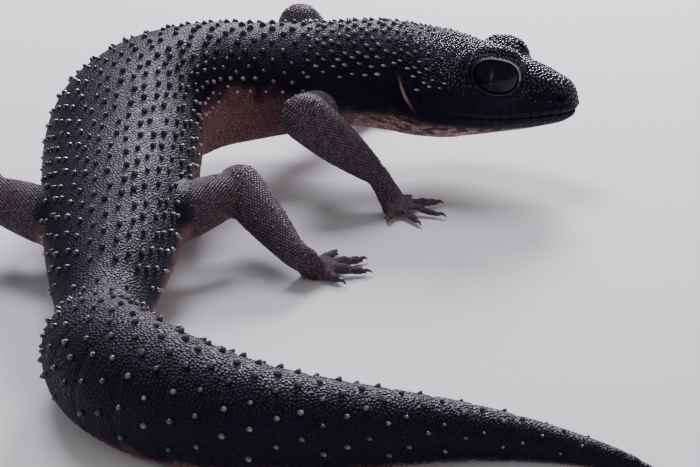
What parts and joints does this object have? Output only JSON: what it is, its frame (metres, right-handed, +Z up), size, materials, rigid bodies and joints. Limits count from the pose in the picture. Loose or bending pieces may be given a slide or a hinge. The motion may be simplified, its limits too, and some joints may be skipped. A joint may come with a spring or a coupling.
{
  "type": "leopard gecko",
  "caption": "Still, life-size black leopard gecko: blunt triangular head, knobbly curled body resting on its belly, thick tapering tail and four splayed five-toed feet.",
  "frame": {"origin": "on the floor, at the middle of the flat where the belly rests", "axes": "+Z up from the floor, +X the way that the front half of the animal faces, +Y its left side there; the hind half runs back towards -Y and the tail curls to +X"},
  "size_m": [0.0918, 0.1208, 0.0218],
  "materials": {
    "skin": "fine moist scales, satin, violet-black, browner on the flanks and belly",
    "eye": "wet gloss, black iris with a grey upright slit",
    "claw": "polished dark horn"
  },
  "bodies": {
    "root": {"head": "skin", "eye_right": "eye", "eye_left": "eye", "neck": "skin", "chest": "skin", "belly": "skin", "pelvis": "skin", "tail_base": "skin", "tail_middle": "skin", "tail_rear": "skin", "tail_tip": "skin", "upper_arm_right": "skin", "forearm_right": "skin", "hand_right": "skin", "upper_arm_left": "skin", "forearm_left": "skin", "hand_left": "skin", "thigh_right": "skin", "shin_right": "skin", "foot_right": "skin", "thigh_left": "skin", "shin_left": "skin", "foot_left": "skin"}
  },
  "joints": []
}
